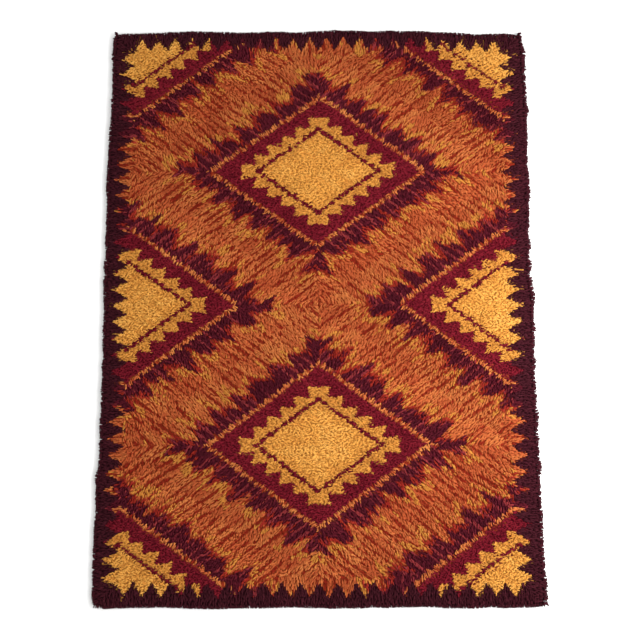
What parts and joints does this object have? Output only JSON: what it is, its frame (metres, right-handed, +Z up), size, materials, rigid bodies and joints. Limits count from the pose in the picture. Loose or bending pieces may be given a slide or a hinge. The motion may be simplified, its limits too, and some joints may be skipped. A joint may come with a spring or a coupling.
{
  "type": "rya rug",
  "caption": "Rectangular shaggy wool rug lying flat, its long pile knotted through a woven ground, with an uneven tufted rim.",
  "frame": {"origin": "middle of the rug's outline, on the underside of its woven ground, where it meets the floor", "axes": "+Z up out of the pile; +Y along the rug's length; +X across its width"},
  "size_m": [1.5052, 2.0186, 0.0309],
  "materials": {
    "pile": "matt wool yarn, cut pile, heather mixed",
    "ground": "plain ribbed weave, matt"
  },
  "bodies": {
    "root": {"rug": "pile"}
  },
  "joints": []
}
